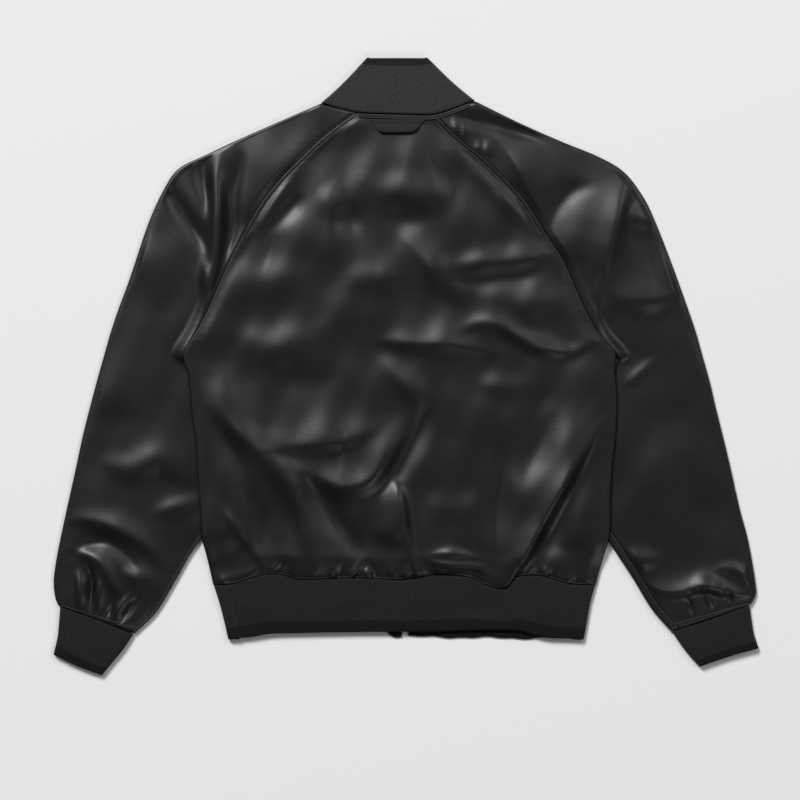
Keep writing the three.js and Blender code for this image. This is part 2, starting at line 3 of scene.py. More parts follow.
import bpy
import numpy as np
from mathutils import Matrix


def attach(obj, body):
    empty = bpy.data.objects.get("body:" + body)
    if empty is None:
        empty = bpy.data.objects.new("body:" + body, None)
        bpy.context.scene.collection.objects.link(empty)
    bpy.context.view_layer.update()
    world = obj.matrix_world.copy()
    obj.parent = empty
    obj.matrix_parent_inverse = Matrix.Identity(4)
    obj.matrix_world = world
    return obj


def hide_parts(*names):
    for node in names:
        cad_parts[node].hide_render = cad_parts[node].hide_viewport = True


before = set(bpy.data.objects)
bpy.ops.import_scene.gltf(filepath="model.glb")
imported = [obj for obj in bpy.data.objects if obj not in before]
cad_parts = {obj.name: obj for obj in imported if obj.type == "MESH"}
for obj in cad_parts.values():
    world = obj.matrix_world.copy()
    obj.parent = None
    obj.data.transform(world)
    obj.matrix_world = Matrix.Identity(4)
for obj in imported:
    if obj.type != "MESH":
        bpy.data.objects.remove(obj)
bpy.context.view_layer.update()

# An anthem jacket laid flat with its back up. Tables are in millimetres, in the frame of the CAD model:
# +X to the wearer's right, +Y to the collar, +Z up. Meshes are made in metres.
MM = 0.001

SATIN = 1.4
RIB = 2.6
TAPE = 0.9
SATIN_LOW, SATIN_TOP = 0.9, 6.4
RIB_LOW, RIB_TOP = 1.4, 7.6
BODY_PUFF = 3.5
SLEEVE_PUFF = 1.8
LIFT = 7.6
SEAM = 0.15
SIDE_RETURN = 4.0
HEM_RETURN = 10.0
HEM_Y = -272.5
FRONT_NECK_Y = 228.0
HEM_DROP_Y = -337.0
COLLAR_TOP_Y = 385.0
COLLAR_HEIGHT = 65.0
ZIP_SPACE = 4.9

# Rows of the sleeves: seam on the back raglan seam, fold on the outer edge, under on the front raglan seam
RAGLAN = {
    "left": [
        (-61, 317, -107, 328, -92, 268),
        (-101, 287, -160, 305, -118, 240),
        (-129, 261, -212, 282, -140, 214),
        (-155, 235, -250, 264, -160, 188),
        (-180, 204, -284, 247, -180, 160),
        (-202, 166, -303, 220, -198, 132),
        (-222, 127, -322, 178, -217, 102),
        (-244, 76, -345, 110, -238, 68),
        (-260, 44, -359, 72, -258, 40),
        (-276, 16, -369, 42, -276, 14),
    ],
    "right": [
        (36, 314, 87, 331, 72, 268),
        (65, 285, 144, 303, 98, 242),
        (95, 261, 196, 280, 122, 214),
        (124, 233, 240, 262, 144, 188),
        (149, 205, 272, 243, 164, 160),
        (177, 161, 295, 214, 182, 132),
        (196, 131, 310, 184, 200, 102),
        (214, 90, 332, 128, 220, 68),
        (236, 46, 350, 78, 240, 42),
        (260, 17, 361, 46, 260, 15),
    ],
}
RAGLAN_LIFT = (0, 0, 0, 0, 0, 0.05, 0.2, 0.5, 0.8, 1)
RAGLAN_TUCK = (0, 0, 0, 0, 0, 0, 0, 0, 0, 2)
# Rows below the armpit: underarm fold, outer edge
ARM = {
    "left": [
        (-270, 2, -377, 14),
        (-254, -22, -386, -18),
        (-238, -50, -395, -52),
        (-226, -88, -404, -88),
        (-224, -132, -413, -130),
        (-232, -176, -423, -175),
        (-254, -212, -431, -212),
        (-271, -238, -437, -243),
        (-288, -268, -440, -268),
        (-311, -306, -438, -288),
        (-338, -333, -434, -298),
    ],
    "right": [
        (254, 4, 370, 14),
        (243, -22, 379, -18),
        (226, -50, 387, -52),
        (214, -88, 396, -88),
        (212, -132, 406, -130),
        (222, -176, 416, -175),
        (250, -214, 426, -212),
        (267, -240, 432, -243),
        (284, -266, 436, -268),
        (306, -302, 437, -284),
        (330, -330, 431, -296),
    ],
}
CUFF = {
    "left": [
        (-340.4, -333.9, -431.6, -299.7),
        (-352, -352, -433, -318),
        (-366, -369, -435, -338),
        (-379, -385, -440, -359),
    ],
    "right": [
        (332.2, -330.7, 428.6, -297.8),
        (343, -347, 431, -315),
        (354, -361, 434, -333),
        (366, -374, 440, -351),
    ],
}
# Side folds of the body: y, left, right, how much sleeve lies under it, share of the lift
SIDES = [
    (-272.5, -241, 237, 0, 0),
    (-250, -246, 243, 0, 0),
    (-232, -250, 248, 0, 0.55),
    (-215, -254, 253, 14, 1),
    (-190, -256, 255, 30, 1),
    (-160, -258, 255, 40, 1),
    (-128, -260, 257, 48, 1),
    (-95, -262, 261, 51, 1),
    (-62, -267, 263, 46, 1),
    (-36, -269, 263, 30, 1),
    (-10, -272.3, 261, 13, 1),
]
# Rib hem across the back: x, seam, lower edge
HEM_BACK = [
    (-241, -272.5, -340),
    (-217, -271.5, -339),
    (-193, -264, -337),
    (-172, -259, -333.5),
    (-152, -260.5, -332.5),
    (-130, -266, -332),
    (-66, -264, -331),
    (0, -266, -330.5),
    (36, -260.5, -330),
    (78, -263, -328.5),
    (98, -272, -328.2),
    (124, -278, -328),
    (140, -262, -328.5),
    (162, -260.5, -335),
    (180, -264, -338.5),
    (204, -271, -339),
    (237, -273.5, -340),
]
HEM_SIDES = [(0, -240, 236), (0.33, -233, 230), (0.67, -227, 226), (1, -222, 222)]

# Creases: height, reach to the left and to the right of the way it runs, sharpness of its crest (2 is round),
# then points along its crest
BACK_CREASES = [
    (3.2, 16, 16, 2, (-140, 236), (-160, 212), (-178, 188), (-200, 160)),
    (-3, 12, 12, 2, (-124, 214), (-146, 196), (-172, 168)),
    (3.6, 26, 24, 2, (-206, 124), (-176, 108), (-140, 112), (-112, 128)),
    (3, 22, 20, 2, (-116, 214), (-92, 204), (-62, 200)),
    (-4, 20, 20, 2, (-96, 186), (-74, 184), (-52, 188)),
    (4, 20, 18, 2, (-78, 104), (-40, 110), (-4, 104)),
    (4.5, 26, 22, 2, (-46, 232), (-8, 216), (34, 218), (60, 228)),
    (-3, 18, 18, 2, (-44, 196), (0, 186), (48, 196)),
    (4.5, 20, 13, 2, (-16, 176), (24, 134), (50, 102), (84, 84)),
    (4.5, 9, 14, 2, (48, 280), (95, 236), (128, 202), (156, 172)),
    (5.5, 17, 12, 2, (40, 122), (96, 128), (150, 134), (196, 148)),
    (-3, 14, 14, 2, (50, 104), (110, 108), (176, 116)),
    (5.5, 18, 9, 1.6, (-48, 34), (6, 28), (56, 26), (122, 14)),
    (6.5, 15, 8, 1.6, (58, 40), (86, 52), (116, 50), (140, 36), (170, 22), (206, 18), (240, 36)),
    (2.6, 15, 14, 2, (80, -16), (120, -25), (170, -22)),
    (4, 18, 14, 2, (-38, 14), (-8, -14), (14, -36), (34, -64)),
    (5.5, 26, 9, 1.7, (-190, -98), (-156, -100), (-112, -98), (-72, -92), (-30, -70)),
    (9.5, 38, 12, 1.5, (-158, -118), (-120, -134), (-84, -150), (-48, -144), (-18, -108), (2, -76), (18, -40)),
    (-4.5, 15, 15, 2, (30, -48), (8, -94), (-16, -134), (-48, -184)),
    (9.5, 21, 14, 1.8, (-256, -42), (-214, -78), (-172, -114), (-142, -152), (-124, -206), (-106, -262)),
    (-5, 15, 14, 2, (-266, -26), (-236, -72), (-206, -132), (-182, -196), (-158, -256)),
    (3, 6, 6, 1.6, (-236, -170), (-212, -198), (-188, -230), (-170, -256)),
    (-6, 15, 15, 2, (-132, -136), (-104, -166), (-78, -206), (-46, -250)),
    (7, 6, 22, 1.4, (-20, -136), (-8, -158), (4, -219), (16, -270)),
    (4.5, 7, 5, 1.6, (22, -242), (54, -248), (86, -250), (122, -268)),
    (2.5, 6, 5, 1.8, (28, -234), (60, -233), (94, -240)),
    (-4.5, 15, 14, 2, (124, -88), (116, -150), (112, -212), (114, -262)),
    (-2.5, 16, 14, 2, (206, -28), (176, -84), (156, -124), (144, -160)),
    (2.2, 17, 18, 1.9, (260, -20), (206, -84), (166, -140), (132, -200)),
    (13, 5, 26, 1.2, (252, -60), (216, -116), (184, -172), (158, -220), (138, -258), (124, -284)),
    (-3.5, 14, 12, 2, (240, -80), (212, -150), (174, -226), (160, -252)),
    (3, 20, 20, 2, (16, -166), (56, -176), (106, -168)),
    (3.5, 20, 20, 2, (118, 84), (160, 76), (204, 90)),
    (3, 24, 22, 2, (-226, 44), (-170, 28), (-120, 36), (-80, 60)),
    (-3, 22, 22, 2, (-190, 2), (-140, -16), (-80, -12)),
    (4, 24, 12, 1.8, (-44, -200), (-20, -208), (0, -216)),
]
# Gathers above the rib hem: x, height, reach, length, lean
HEM_GATHERS = [
    (-228, 1.6, 4, 16, 0.3), (-196, 1.2, 5, 22, 0.4), (-168, 3, 2.6, 20, 0.5), (-161, -2.6, 2.4, 30, 0.6),
    (-152, 1.6, 4, 14, -0.3), (-120, 1.5, 5, 26, 0.5), (-92, 3.2, 2.6, 15, 0.2), (-86, -2.6, 2.2, 24, 0.4),
    (-70, 3.4, 3, 28, 0.7), (-63, -3, 2.4, 34, 0.7), (-45, 3.2, 3, 18, -0.4), (-38, -2.6, 2.4, 26, -0.2),
    (-14, 1.8, 4, 30, -0.3), (1, 3, 2.4, 16, 0.1), (8, -3, 2.4, 40, -0.15), (18, 2.6, 3, 18, -0.3),
    (46, 1.8, 5, 14, -0.5), (74, 1.2, 4, 12, 0.6), (136, -2.6, 2.6, 22, 0.5), (152, 2, 4, 22, 0.5), (172, 2.8, 2.6, 18, 0.3),
    (179, -2.4, 2.4, 20, 0.3), (203, 2.4, 3, 14, 0.2), (210, -2, 2.4, 16, 0.2), (226, 1.4, 3, 12, 0),
]
SLEEVE_CREASES = {
    "left": [
        (-7, 12, 9, 1.7, (-304, 242), (-286, 202), (-266, 170), (-240, 138)),
        (9.5, 10, 11, 1.7, (-232, 272), (-236, 236), (-235, 190), (-236, 150), (-243, 104), (-258, 48)),
        (-5, 10, 10, 2, (-214, 278), (-208, 255), (-216, 218), (-218, 180), (-224, 140), (-240, 83)),
        (-4.5, 9, 9, 2, (-246, 270), (-254, 246), (-248, 210), (-242, 176)),
        (4, 7, 7, 2, (-254, 136), (-249, 112), (-252, 84)),
        (2.5, 28, 28, 2, (-340, 160), (-318, 120), (-308, 64)),
        (3.5, 60, 26, 2, (-92, 300), (-140, 254), (-186, 206), (-206, 172)),
        (5, 20, 15, 2, (-384, -116), (-344, -128), (-306, -118), (-262, -146)),
        (3, 12, 10, 2, (-318, -184), (-286, -176), (-252, -166)),
        (6.5, 17, 10, 1.7, (-426, -190), (-388, -194), (-352, -206), (-322, -226), (-296, -256)),
        (-4.5, 10, 9, 2, (-424, -240), (-398, -222), (-372, -220), (-346, -240), (-318, -284)),
        (5.5, 10, 8, 1.7, (-424, -226), (-398, -234), (-378, -248), (-364, -274), (-344, -296)),
        (3.5, 13, 10, 2, (-356, -252), (-330, -264), (-300, -270)),
        (-6.5, 4.5, 4, 1.6, (-398, -240), (-393, -262), (-393, -284), (-396, -310)),
        (4, 7, 6, 2, (-410, -250), (-406, -276), (-408, -304)),
        (3.5, 6, 6, 2, (-384, -256), (-382, -280), (-384, -308)),
        (-4.5, 4, 4, 1.8, (-332, -286), (-344, -302), (-360, -324)),
        (3.5, 6, 5, 1.8, (-342, -282), (-356, -300), (-370, -316)),
        (-3, 4, 4, 2, (-362, -292), (-368, -303), (-374, -314)),
        (2.5, 26, 24, 2, (-404, -60), (-370, -40), (-330, -60)),
    ],
    "right": [
        (-4, 9, 9, 2, (40, 314), (92, 306), (140, 292), (182, 276)),
        (2, 3.6, 3.6, 2, (63, 318), (62, 298), (59, 278)),
        (2, 3.6, 3.6, 2, (74, 314), (73, 294), (71, 276)),
        (2.2, 4, 4, 2, (92, 284), (90, 272), (87, 262)),
        (2.4, 5, 5, 2, (104, 284), (101, 270), (98, 258)),
        (5, 34, 9, 1.4, (116, 286), (138, 250), (158, 212), (180, 164)),
        (-3.4, 12, 12, 2, (176, 164), (186, 196), (206, 218), (236, 226)),
        (2.2, 22, 20, 2, (250, 226), (224, 190), (204, 150), (196, 124)),
        (13.5, 17, 46, 1.25, (282, 262), (266, 196), (250, 130), (224, 24)),
        (4, 14, 12, 2, (276, 190), (292, 184), (310, 168)),
        (6.5, 30, 14, 1.7, (228, 96), (270, 84), (310, 82), (346, 96)),
        (2, 8, 7, 2, (270, -26), (292, -8), (316, 14)),
        (4, 32, 30, 2, (262, -196), (304, -146), (344, -96), (372, -60)),
        (4, 15, 12, 2, (260, -232), (292, -242), (322, -236)),
        (7, 16, 4.5, 1.5, (284, -268), (330, -284), (370, -276), (404, -284), (440, -286)),
        (4.5, 9, 7, 1.7, (380, -256), (404, -252), (424, -264), (436, -284)),
        (3, 12, 10, 2, (352, -272), (376, -270), (396, -276)),
        (3, 24, 24, 2, (328, 200), (340, 140), (352, 70)),
        (-3, 4, 4, 2, (350, -286), (354, -298), (358, -312)),
        (-3, 4, 4, 2, (398, -276), (402, -286), (404, -296)),
        (2.5, 4, 4, 2, (374, -284), (378, -292), (382, -302)),
    ],
}

FOLD_POINTS = 9
# Slack of the cloth between its creases: height, length of a wave, its direction, its start
SLACK = [(0.7, 140, 0.7, 0.4), (0.8, 105, 2.2, 2.1), (0.55, 76, 1.3, 4.0), (0.4, 58, 0.2, 1.2), (0.3, 43, 2.7, 5.0)]


def unit(vector):
    return vector / np.linalg.norm(vector)


def smooth(value, low, high):
    share = np.clip((np.asarray(value, float) - low) / (high - low), 0, 1)
    return share * share * (3 - 2 * share)


def resample_at(rows, place):
    """A smooth curve through the rows of an array, at given row numbers, that never doubles back between rows."""
    rows = np.asarray(rows, float)
    steps = np.diff(rows, axis=0)
    before, after = np.concatenate([steps[:1], steps]), np.concatenate([steps, steps[-1:]])
    slope = (before + after) / 2
    limit = np.where(before * after > 0, 3 * np.minimum(abs(before), abs(after)), abs(slope))
    slope = np.clip(slope, -limit, limit)
    i = np.clip(np.asarray(place).astype(int), 0, len(rows) - 2)
    t = (place - i).reshape((-1,) + (1,) * (rows.ndim - 1))
    bend = slope[i] * (1 - t) ** 2 * t - slope[i + 1] * (1 - t) * t**2
    return rows[i] + steps[i] * t * t * (3 - 2 * t) + bend


def resample(rows, count):
    return resample_at(rows, np.linspace(0, len(rows) - 1, count))


def crease_height(grid, creases):
    """Height that the creases add at each point of a grid."""
    x, y = grid[..., 0], grid[..., 1]
    total = np.zeros(x.shape)
    for height, left, right, power, *points in creases:
        path = resample(points, 90)
        low, high = path.min(0) - 75, path.max(0) + 75
        near = (x > low[0]) & (x < high[0]) & (y > low[1]) & (y < high[1])
        dx = x[near][:, None] - path[:, 0]
        dy = y[near][:, None] - path[:, 1]
        nearest = np.argmin(dx * dx + dy * dy, axis=1)
        pick = np.arange(len(nearest))
        step = np.gradient(path, axis=0)[nearest]
        dx, dy = dx[pick, nearest], dy[pick, nearest]
        on = np.clip((dx * step[:, 0] + dy * step[:, 1]) / (step**2).sum(1), -0.5, 0.5)
        dx, dy = dx - on * step[:, 0], dy - on * step[:, 1]
        reach = np.where(step[:, 0] * dy > step[:, 1] * dx, left, right)
        along = np.clip((nearest + on) / 89, 0, 1)
        reach = reach * (0.55 + 0.45 * np.sin(math.pi * along))
        distance = np.sqrt(dx**2 + dy**2 + 2.2)
        taper = smooth(along, -0.06, 0.45) * smooth(1 - along, -0.06, 0.45)
        total[near] += height * taper * np.exp(-((distance / reach) ** power))
    return total


def slack(grid):
    total = np.zeros(grid.shape[:2])
    for height, length, direction, start in SLACK:
        way = grid[..., 0] * math.cos(direction) + grid[..., 1] * math.sin(direction)
        total += height * np.sin(2 * math.pi * way / length + start)
    return total


def puckers(along, edge):
    """Small ripples that a seam's stitches pull into the cloth beside it."""
    return 0.28 * np.sin(0.85 * along + 2.2 * np.sin(0.11 * along)) * np.exp(-edge / 9) * smooth(edge, 1, 5)


def turn(edge, inward_from, inward_to, low, high, thickness):
    """Points round a folded edge, from one layer's height to the other's."""
    share = np.linspace(0, 1, FOLD_POINTS)[:, None]
    inward = inward_from * (1 - share) + inward_to * share
    inward /= np.linalg.norm(inward, axis=1)[:, None]
    reach = thickness / 2 + abs(high - low) / 2 * (1 - np.sin(share * math.pi))
    flat = np.asarray(edge, float) + inward * reach
    return np.hstack([flat, low + (high - low) * (1 - np.cos(share * math.pi)) / 2])


def line(start, end, count, last=False):
    share = np.linspace(0, 1, count, endpoint=last)[:, None]
    return np.asarray(start, float) * (1 - share) + np.asarray(end, float) * share


def shell(name, grid, thickness, material, closed=False, grain=None):
    """A wall of cloth round a grid of points half way through it, as a mesh object in metres."""
    grid = np.asarray(grid, float)
    rows, columns, _ = grid.shape
    if closed:
        along = np.roll(grid, -1, 1) - np.roll(grid, 1, 1)
    else:
        along = np.gradient(grid, axis=1)
    normal = np.cross(along, np.gradient(grid, axis=0))
    normal /= np.maximum(np.linalg.norm(normal, axis=2, keepdims=True), 1e-9)
    outer, inner = grid + normal * thickness / 2, grid - normal * thickness / 2
    outer[..., 2], inner[..., 2] = np.maximum(outer[..., 2], 0), np.maximum(inner[..., 2], 0)
    index = np.arange(rows * columns).reshape(rows, columns)
    if closed:
        index = np.hstack([index, index[:, :1]])
    a, b, c, d = index[:-1, :-1], index[:-1, 1:], index[1:, 1:], index[1:, :-1]
    under = rows * columns
    faces = [np.stack([a, b, c, d], -1).reshape(-1, 4), np.stack([a, d, c, b], -1).reshape(-1, 4) + under]
    rims = [(index[0, 1:], index[0, :-1]), (index[-1, :-1], index[-1, 1:])]
    if not closed:
        rims += [(index[:-1, 0], index[1:, 0]), (index[1:, -1], index[:-1, -1])]
    for first, second in rims:
        faces.append(np.stack([first, second, second + under, first + under], -1))
    faces = np.vstack(faces)
    points = np.vstack([outer.reshape(-1, 3), inner.reshape(-1, 3)])
    middle = points.mean(0)
    p = points[faces] - middle
    volume = np.einsum("ij,ij->i", p[:, 0], np.cross(p[:, 1], p[:, 2])).sum()
    volume += np.einsum("ij,ij->i", p[:, 0], np.cross(p[:, 2], p[:, 3])).sum()
    if volume < 0:
        faces = faces[:, ::-1]
    mesh = bpy.data.meshes.new(name)
    mesh.from_pydata((points * MM).tolist(), [], faces.tolist())
    mesh.shade_smooth()
    widths = np.cumsum(np.linalg.norm(np.diff(grid, axis=1, prepend=grid[:, :1]), axis=2), axis=1)
    lengths = np.cumsum(np.linalg.norm(np.diff(grid, axis=0, prepend=grid[:1]), axis=2), axis=0)
    across = np.broadcast_to(widths.mean(0)[None], widths.shape)
    if grain is not None:
        across = grid[..., 0] * math.cos(grain) + grid[..., 1] * math.sin(grain)
        lengths = grid[..., 1] * math.cos(grain) - grid[..., 0] * math.sin(grain)
    cloth = np.stack([across, lengths, np.broadcast_to(np.linspace(0, 1, rows)[:, None], widths.shape)], -1)
    cloth = np.vstack([cloth.reshape(-1, 3), cloth.reshape(-1, 3)])
    mesh.attributes.new("cloth", "FLOAT_VECTOR", "POINT").data.foreach_set("vector", cloth.ravel())
    mesh.materials.append(material)
    obj = bpy.data.objects.new(f"{name}_cloth", mesh)
    bpy.context.scene.collection.objects.link(obj)
    return obj


# Materials


def material(name, colour, roughness, specular=0.5, sheen=0.0):
    made = bpy.data.materials.new(name)
    made.use_nodes = True
    nodes, links = made.node_tree.nodes, made.node_tree.links
    shader = nodes["Principled BSDF"]
    shader.inputs["Base Color"].default_value = (*colour, 1)
    shader.inputs["Roughness"].default_value = roughness
    shader.inputs["Specular IOR Level"].default_value = specular
    shader.inputs["Sheen Weight"].default_value = sheen
    shader.inputs["Sheen Roughness"].default_value = 0.5
    return made, nodes, links, shader


def node(nodes, kind, **values):
    made = nodes.new(kind)
    for key, value in values.items():
        if key in made.inputs:
            made.inputs[key].default_value = value
        else:
            setattr(made, key, value)
    return made


def math_node(nodes, links, operation, first, second=0.0):
    made = nodes.new("ShaderNodeMath")
    made.operation = operation
    for socket, value in zip(made.inputs, (first, second)):
        if hasattr(value, "is_output"):
            links.new(value, socket)
        else:
            socket.default_value = value
    return made.outputs[0]


def cloth_coordinates(nodes, links):
    attribute = node(nodes, "ShaderNodeAttribute", attribute_name="cloth")
    parts = nodes.new("ShaderNodeSeparateXYZ")
    links.new(attribute.outputs["Vector"], parts.inputs[0])
    return attribute.outputs["Vector"], parts.outputs


def noise(nodes, links, vector, scale, detail=3.0, stretch=(1, 1, 1)):
    mapping = node(nodes, "ShaderNodeMapping")
    mapping.inputs["Scale"].default_value = stretch
    links.new(vector, mapping.inputs["Vector"])
    made = node(nodes, "ShaderNodeTexNoise", Scale=scale, Detail=detail)
    links.new(mapping.outputs[0], made.inputs["Vector"])
    return made.outputs["Fac"]


def colour_range(nodes, links, factor, low, high, start=0.3, end=0.7):
    ramp = nodes.new("ShaderNodeValToRGB")
    ramp.color_ramp.elements[0].position = start
    ramp.color_ramp.elements[0].color = (*low, 1)
    ramp.color_ramp.elements[1].position = end
    ramp.color_ramp.elements[1].color = (*high, 1)
    links.new(factor, ramp.inputs[0])
    return ramp.outputs[0]


def bump(nodes, links, shader, height, distance, strength=1.0):
    made = node(nodes, "ShaderNodeBump", Distance=distance, Strength=strength)
    links.new(height, made.inputs["Height"])
    links.new(made.outputs[0], shader.inputs["Normal"])


def satin_material():
    """Black satin: fine cross threads, faint slubs and a soft broad gloss."""
    made, nodes, links, shader = material("satin", (0.005, 0.005, 0.0053), 0.42, 0.45)
    vector, (across, along, _) = cloth_coordinates(nodes, links)
    slubs = noise(nodes, links, vector, 1.0, 4.0, (0.03, 0.9, 0.03))
    cloud = noise(nodes, links, vector, 0.02, 3.0)
    links.new(colour_range(nodes, links, cloud, (0.003, 0.003, 0.0033), (0.007, 0.007, 0.0073)), shader.inputs["Base Color"])
    rough = math_node(nodes, links, "MULTIPLY_ADD", slubs, 0.1)
    rough.node.inputs[2].default_value = 0.35
    links.new(rough, shader.inputs["Roughness"])
    threads = math_node(nodes, links, "SINE", math_node(nodes, links, "MULTIPLY", along, 2 * math.pi / 0.6))
    height = math_node(nodes, links, "MULTIPLY_ADD", threads, 0.03)
    links.new(slubs, height.node.inputs[2])
    bump(nodes, links, shader, height, 0.00007, 0.8)
    return made


def rib_material(name, colour, stripe_start):
    """Rib knit: wales, the loops on them, a fuzzy face and a darker band towards the free edge."""
    made, nodes, links, shader = material(name, colour, 0.9, 0.15, 0.06)
    vector, (across, along, share) = cloth_coordinates(nodes, links)
    wales = math_node(nodes, links, "SINE", math_node(nodes, links, "MULTIPLY", across, 2 * math.pi / 1.9))
    loops = math_node(nodes, links, "SINE", math_node(nodes, links, "MULTIPLY", along, 2 * math.pi / 1.3))
    fuzz = noise(nodes, links, vector, 0.55, 6.0)
    light = tuple(1.25 * c for c in colour)
    dark = tuple(0.72 * c for c in colour)
    body = colour_range(nodes, links, fuzz, dark, light, 0.35, 0.68)
    band = node(nodes, "ShaderNodeMix", data_type="RGBA", blend_type="MULTIPLY")
    links.new(math_node(nodes, links, "GREATER_THAN", share, stripe_start), band.inputs[0])
    links.new(body, band.inputs[6])
    band.inputs[7].default_value = (0.42, 0.42, 0.43, 1)
    links.new(band.outputs[2], shader.inputs["Base Color"])
    height = math_node(nodes, links, "MULTIPLY_ADD", loops, 0.15)
    links.new(wales, height.node.inputs[2])
    total = math_node(nodes, links, "MULTIPLY_ADD", fuzz, 3.0)
    links.new(height, total.node.inputs[2])
    bump(nodes, links, shader, total, 0.0002, 0.8)
    return made


def tape_material():
    made, nodes, links, shader = material("tape", (0.012, 0.012, 0.013), 0.75, 0.3, 0.1)
    vector, (across, along, _) = cloth_coordinates(nodes, links)
    weave = math_node(nodes, links, "SINE", math_node(nodes, links, "MULTIPLY", across, 2 * math.pi / 0.9))
    picks = math_node(nodes, links, "SINE", math_node(nodes, links, "MULTIPLY", along, 2 * math.pi / 0.9))
    height = math_node(nodes, links, "MULTIPLY", weave, picks)
    grain = noise(nodes, links, vector, 1.2, 4.0)
    links.new(colour_range(nodes, links, grain, (0.008, 0.008, 0.009), (0.02, 0.02, 0.021)), shader.inputs["Base Color"])
    bump(nodes, links, shader, height, 0.0002, 0.9)
    return made


# Stitch thread in a grey far lighter than the black cloth: partly the thread's own tone, mostly a painted highlight for
# the light that catches along the seams.
def thread_painted_highlight_material():
    made, nodes, links, shader = material("thread_painted_highlight", (0.1, 0.1, 0.102), 0.45, 0.5, 0.1)
    place = node(nodes, "ShaderNodeTexCoord")
    grain = noise(nodes, links, place.outputs["Object"], 4000.0, 2.0)
    links.new(colour_range(nodes, links, grain, (0.06, 0.06, 0.061), (0.14, 0.14, 0.142)), shader.inputs["Base Color"])
    return made


def metal_material():
    made, nodes, links, shader = material("zip_metal", (0.05, 0.05, 0.055), 0.35)
    shader.inputs["Metallic"].default_value = 1.0
    place = node(nodes, "ShaderNodeTexCoord")
    wear = noise(nodes, links, place.outputs["Object"], 600.0, 4.0)
    rough = math_node(nodes, links, "MULTIPLY_ADD", wear, 0.3)
    rough.node.inputs[2].default_value = 0.2
    links.new(rough, shader.inputs["Roughness"])
    return made


satin = satin_material()
rib_hem = rib_material("rib_hem", (0.013, 0.013, 0.014), 0.78)
rib_cuff = rib_material("rib_cuff", (0.013, 0.013, 0.014), 0.82)
rib_collar = rib_material("rib_collar", (0.034, 0.034, 0.035), 0.86)
tape = tape_material()
thread_painted_highlight = thread_painted_highlight_material()
metal = metal_material()


def finish_piece(obj, nodes, with_pieces=()):
    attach(obj, "root")
    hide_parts(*nodes)


def ride_detail(obj):
    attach(obj, "root")


def middle_x(y):
    return -1 - 8 * (y - HEM_DROP_Y) / (FRONT_NECK_Y - HEM_DROP_Y)


def outward_of(side):
    return -1.0 if side == "left" else 1.0


# Sleeves

SLEEVE_GRAIN = 0.26
TOP_COLUMNS = 96
LOW_COLUMNS = 30
RETURN_COLUMNS = 4
# Distances of the first columns from a seam, and how far the cloth drops into it
SEAM_COLUMNS = (0, 0.5, 1.1, 1.8, 2.8, 4.2)
SEAM_DROP = 1.3
# How far the sleeves' underarm seams lie from their inner folds
UNDERARM_RETURN = {"left": 0.4, "right": 8.0}


def from_seam(start, end, count):
    """Points from a seam to an end, close together at the seam."""
    length = np.linalg.norm(end - start)
    rest = np.linspace(SEAM_COLUMNS[-1], length, count - len(SEAM_COLUMNS) + 2)[1:-1]
    distance = np.concatenate([SEAM_COLUMNS, rest])
    return start + unit(end - start) * distance[:, None], distance


def sleeve_row(seam, fold, under, lift, seam_return):
    """One row of a sleeve: upper layer, outer fold, lower layer, and below the armpit the inner fold too."""
    seam, fold, under = (np.asarray(p, float) for p in (seam, fold, under))
    radius = (SATIN_TOP - SATIN_LOW) / 2
    if seam_return:
        out = unit(fold - seam)
        start = seam + out * (SATIN / 2 + radius + seam_return)
        round_fold = turn(fold, -out, -out, SATIN_TOP, SATIN_LOW, SATIN)
        inner = turn(seam, out, out, SATIN_LOW, SATIN_TOP, SATIN)
        upper, distance = from_seam(start, round_fold[0, :2], TOP_COLUMNS)
        lower = line(round_fold[-1], inner[0], LOW_COLUMNS)[1:]
        back = line(inner[-1], [*(start - out * SEAM), SATIN_TOP - 0.5], RETURN_COLUMNS + 1, True)[1:]
        drop = 0.5 * (1 - smooth(distance, 0, 1.8))
        upper = np.hstack([upper, (SATIN_TOP - drop)[:, None]])
        return np.vstack([upper, round_fold, lower, inner, back])
    start = seam + unit(fold - seam) * SEAM
    end = under + unit(fold - under) * SEAM
    round_fold = turn(fold, unit(seam - fold), unit(under - fold), SATIN_TOP, SATIN_LOW, SATIN)
    upper, distance = from_seam(start, round_fold[0, :2], TOP_COLUMNS)
    height = SATIN_TOP + lift * (1 - smooth(distance, 0, 18)) - SEAM_DROP * (1 - smooth(distance, 0, 1.8))
    upper = np.hstack([upper, height[:, None]])
    near = end + unit(round_fold[-1, :2] - end) * 21
    lower = np.vstack([
        line(round_fold[-1, :2], near, LOW_COLUMNS)[1:],
        line(near, end, FOLD_POINTS + RETURN_COLUMNS, True),
    ])
    height = SATIN_LOW + lift * (1 - smooth(np.linalg.norm(lower - end, axis=1), 0, 30))
    return np.vstack([upper, round_fold, np.hstack([lower, height[:, None]])])


def seam_rise(x, y):
    """Half the height that the back's creases add at a point."""
    return crease_height(np.array([[[x, y]]], float), BACK_CREASES)[0, 0] * 0.5


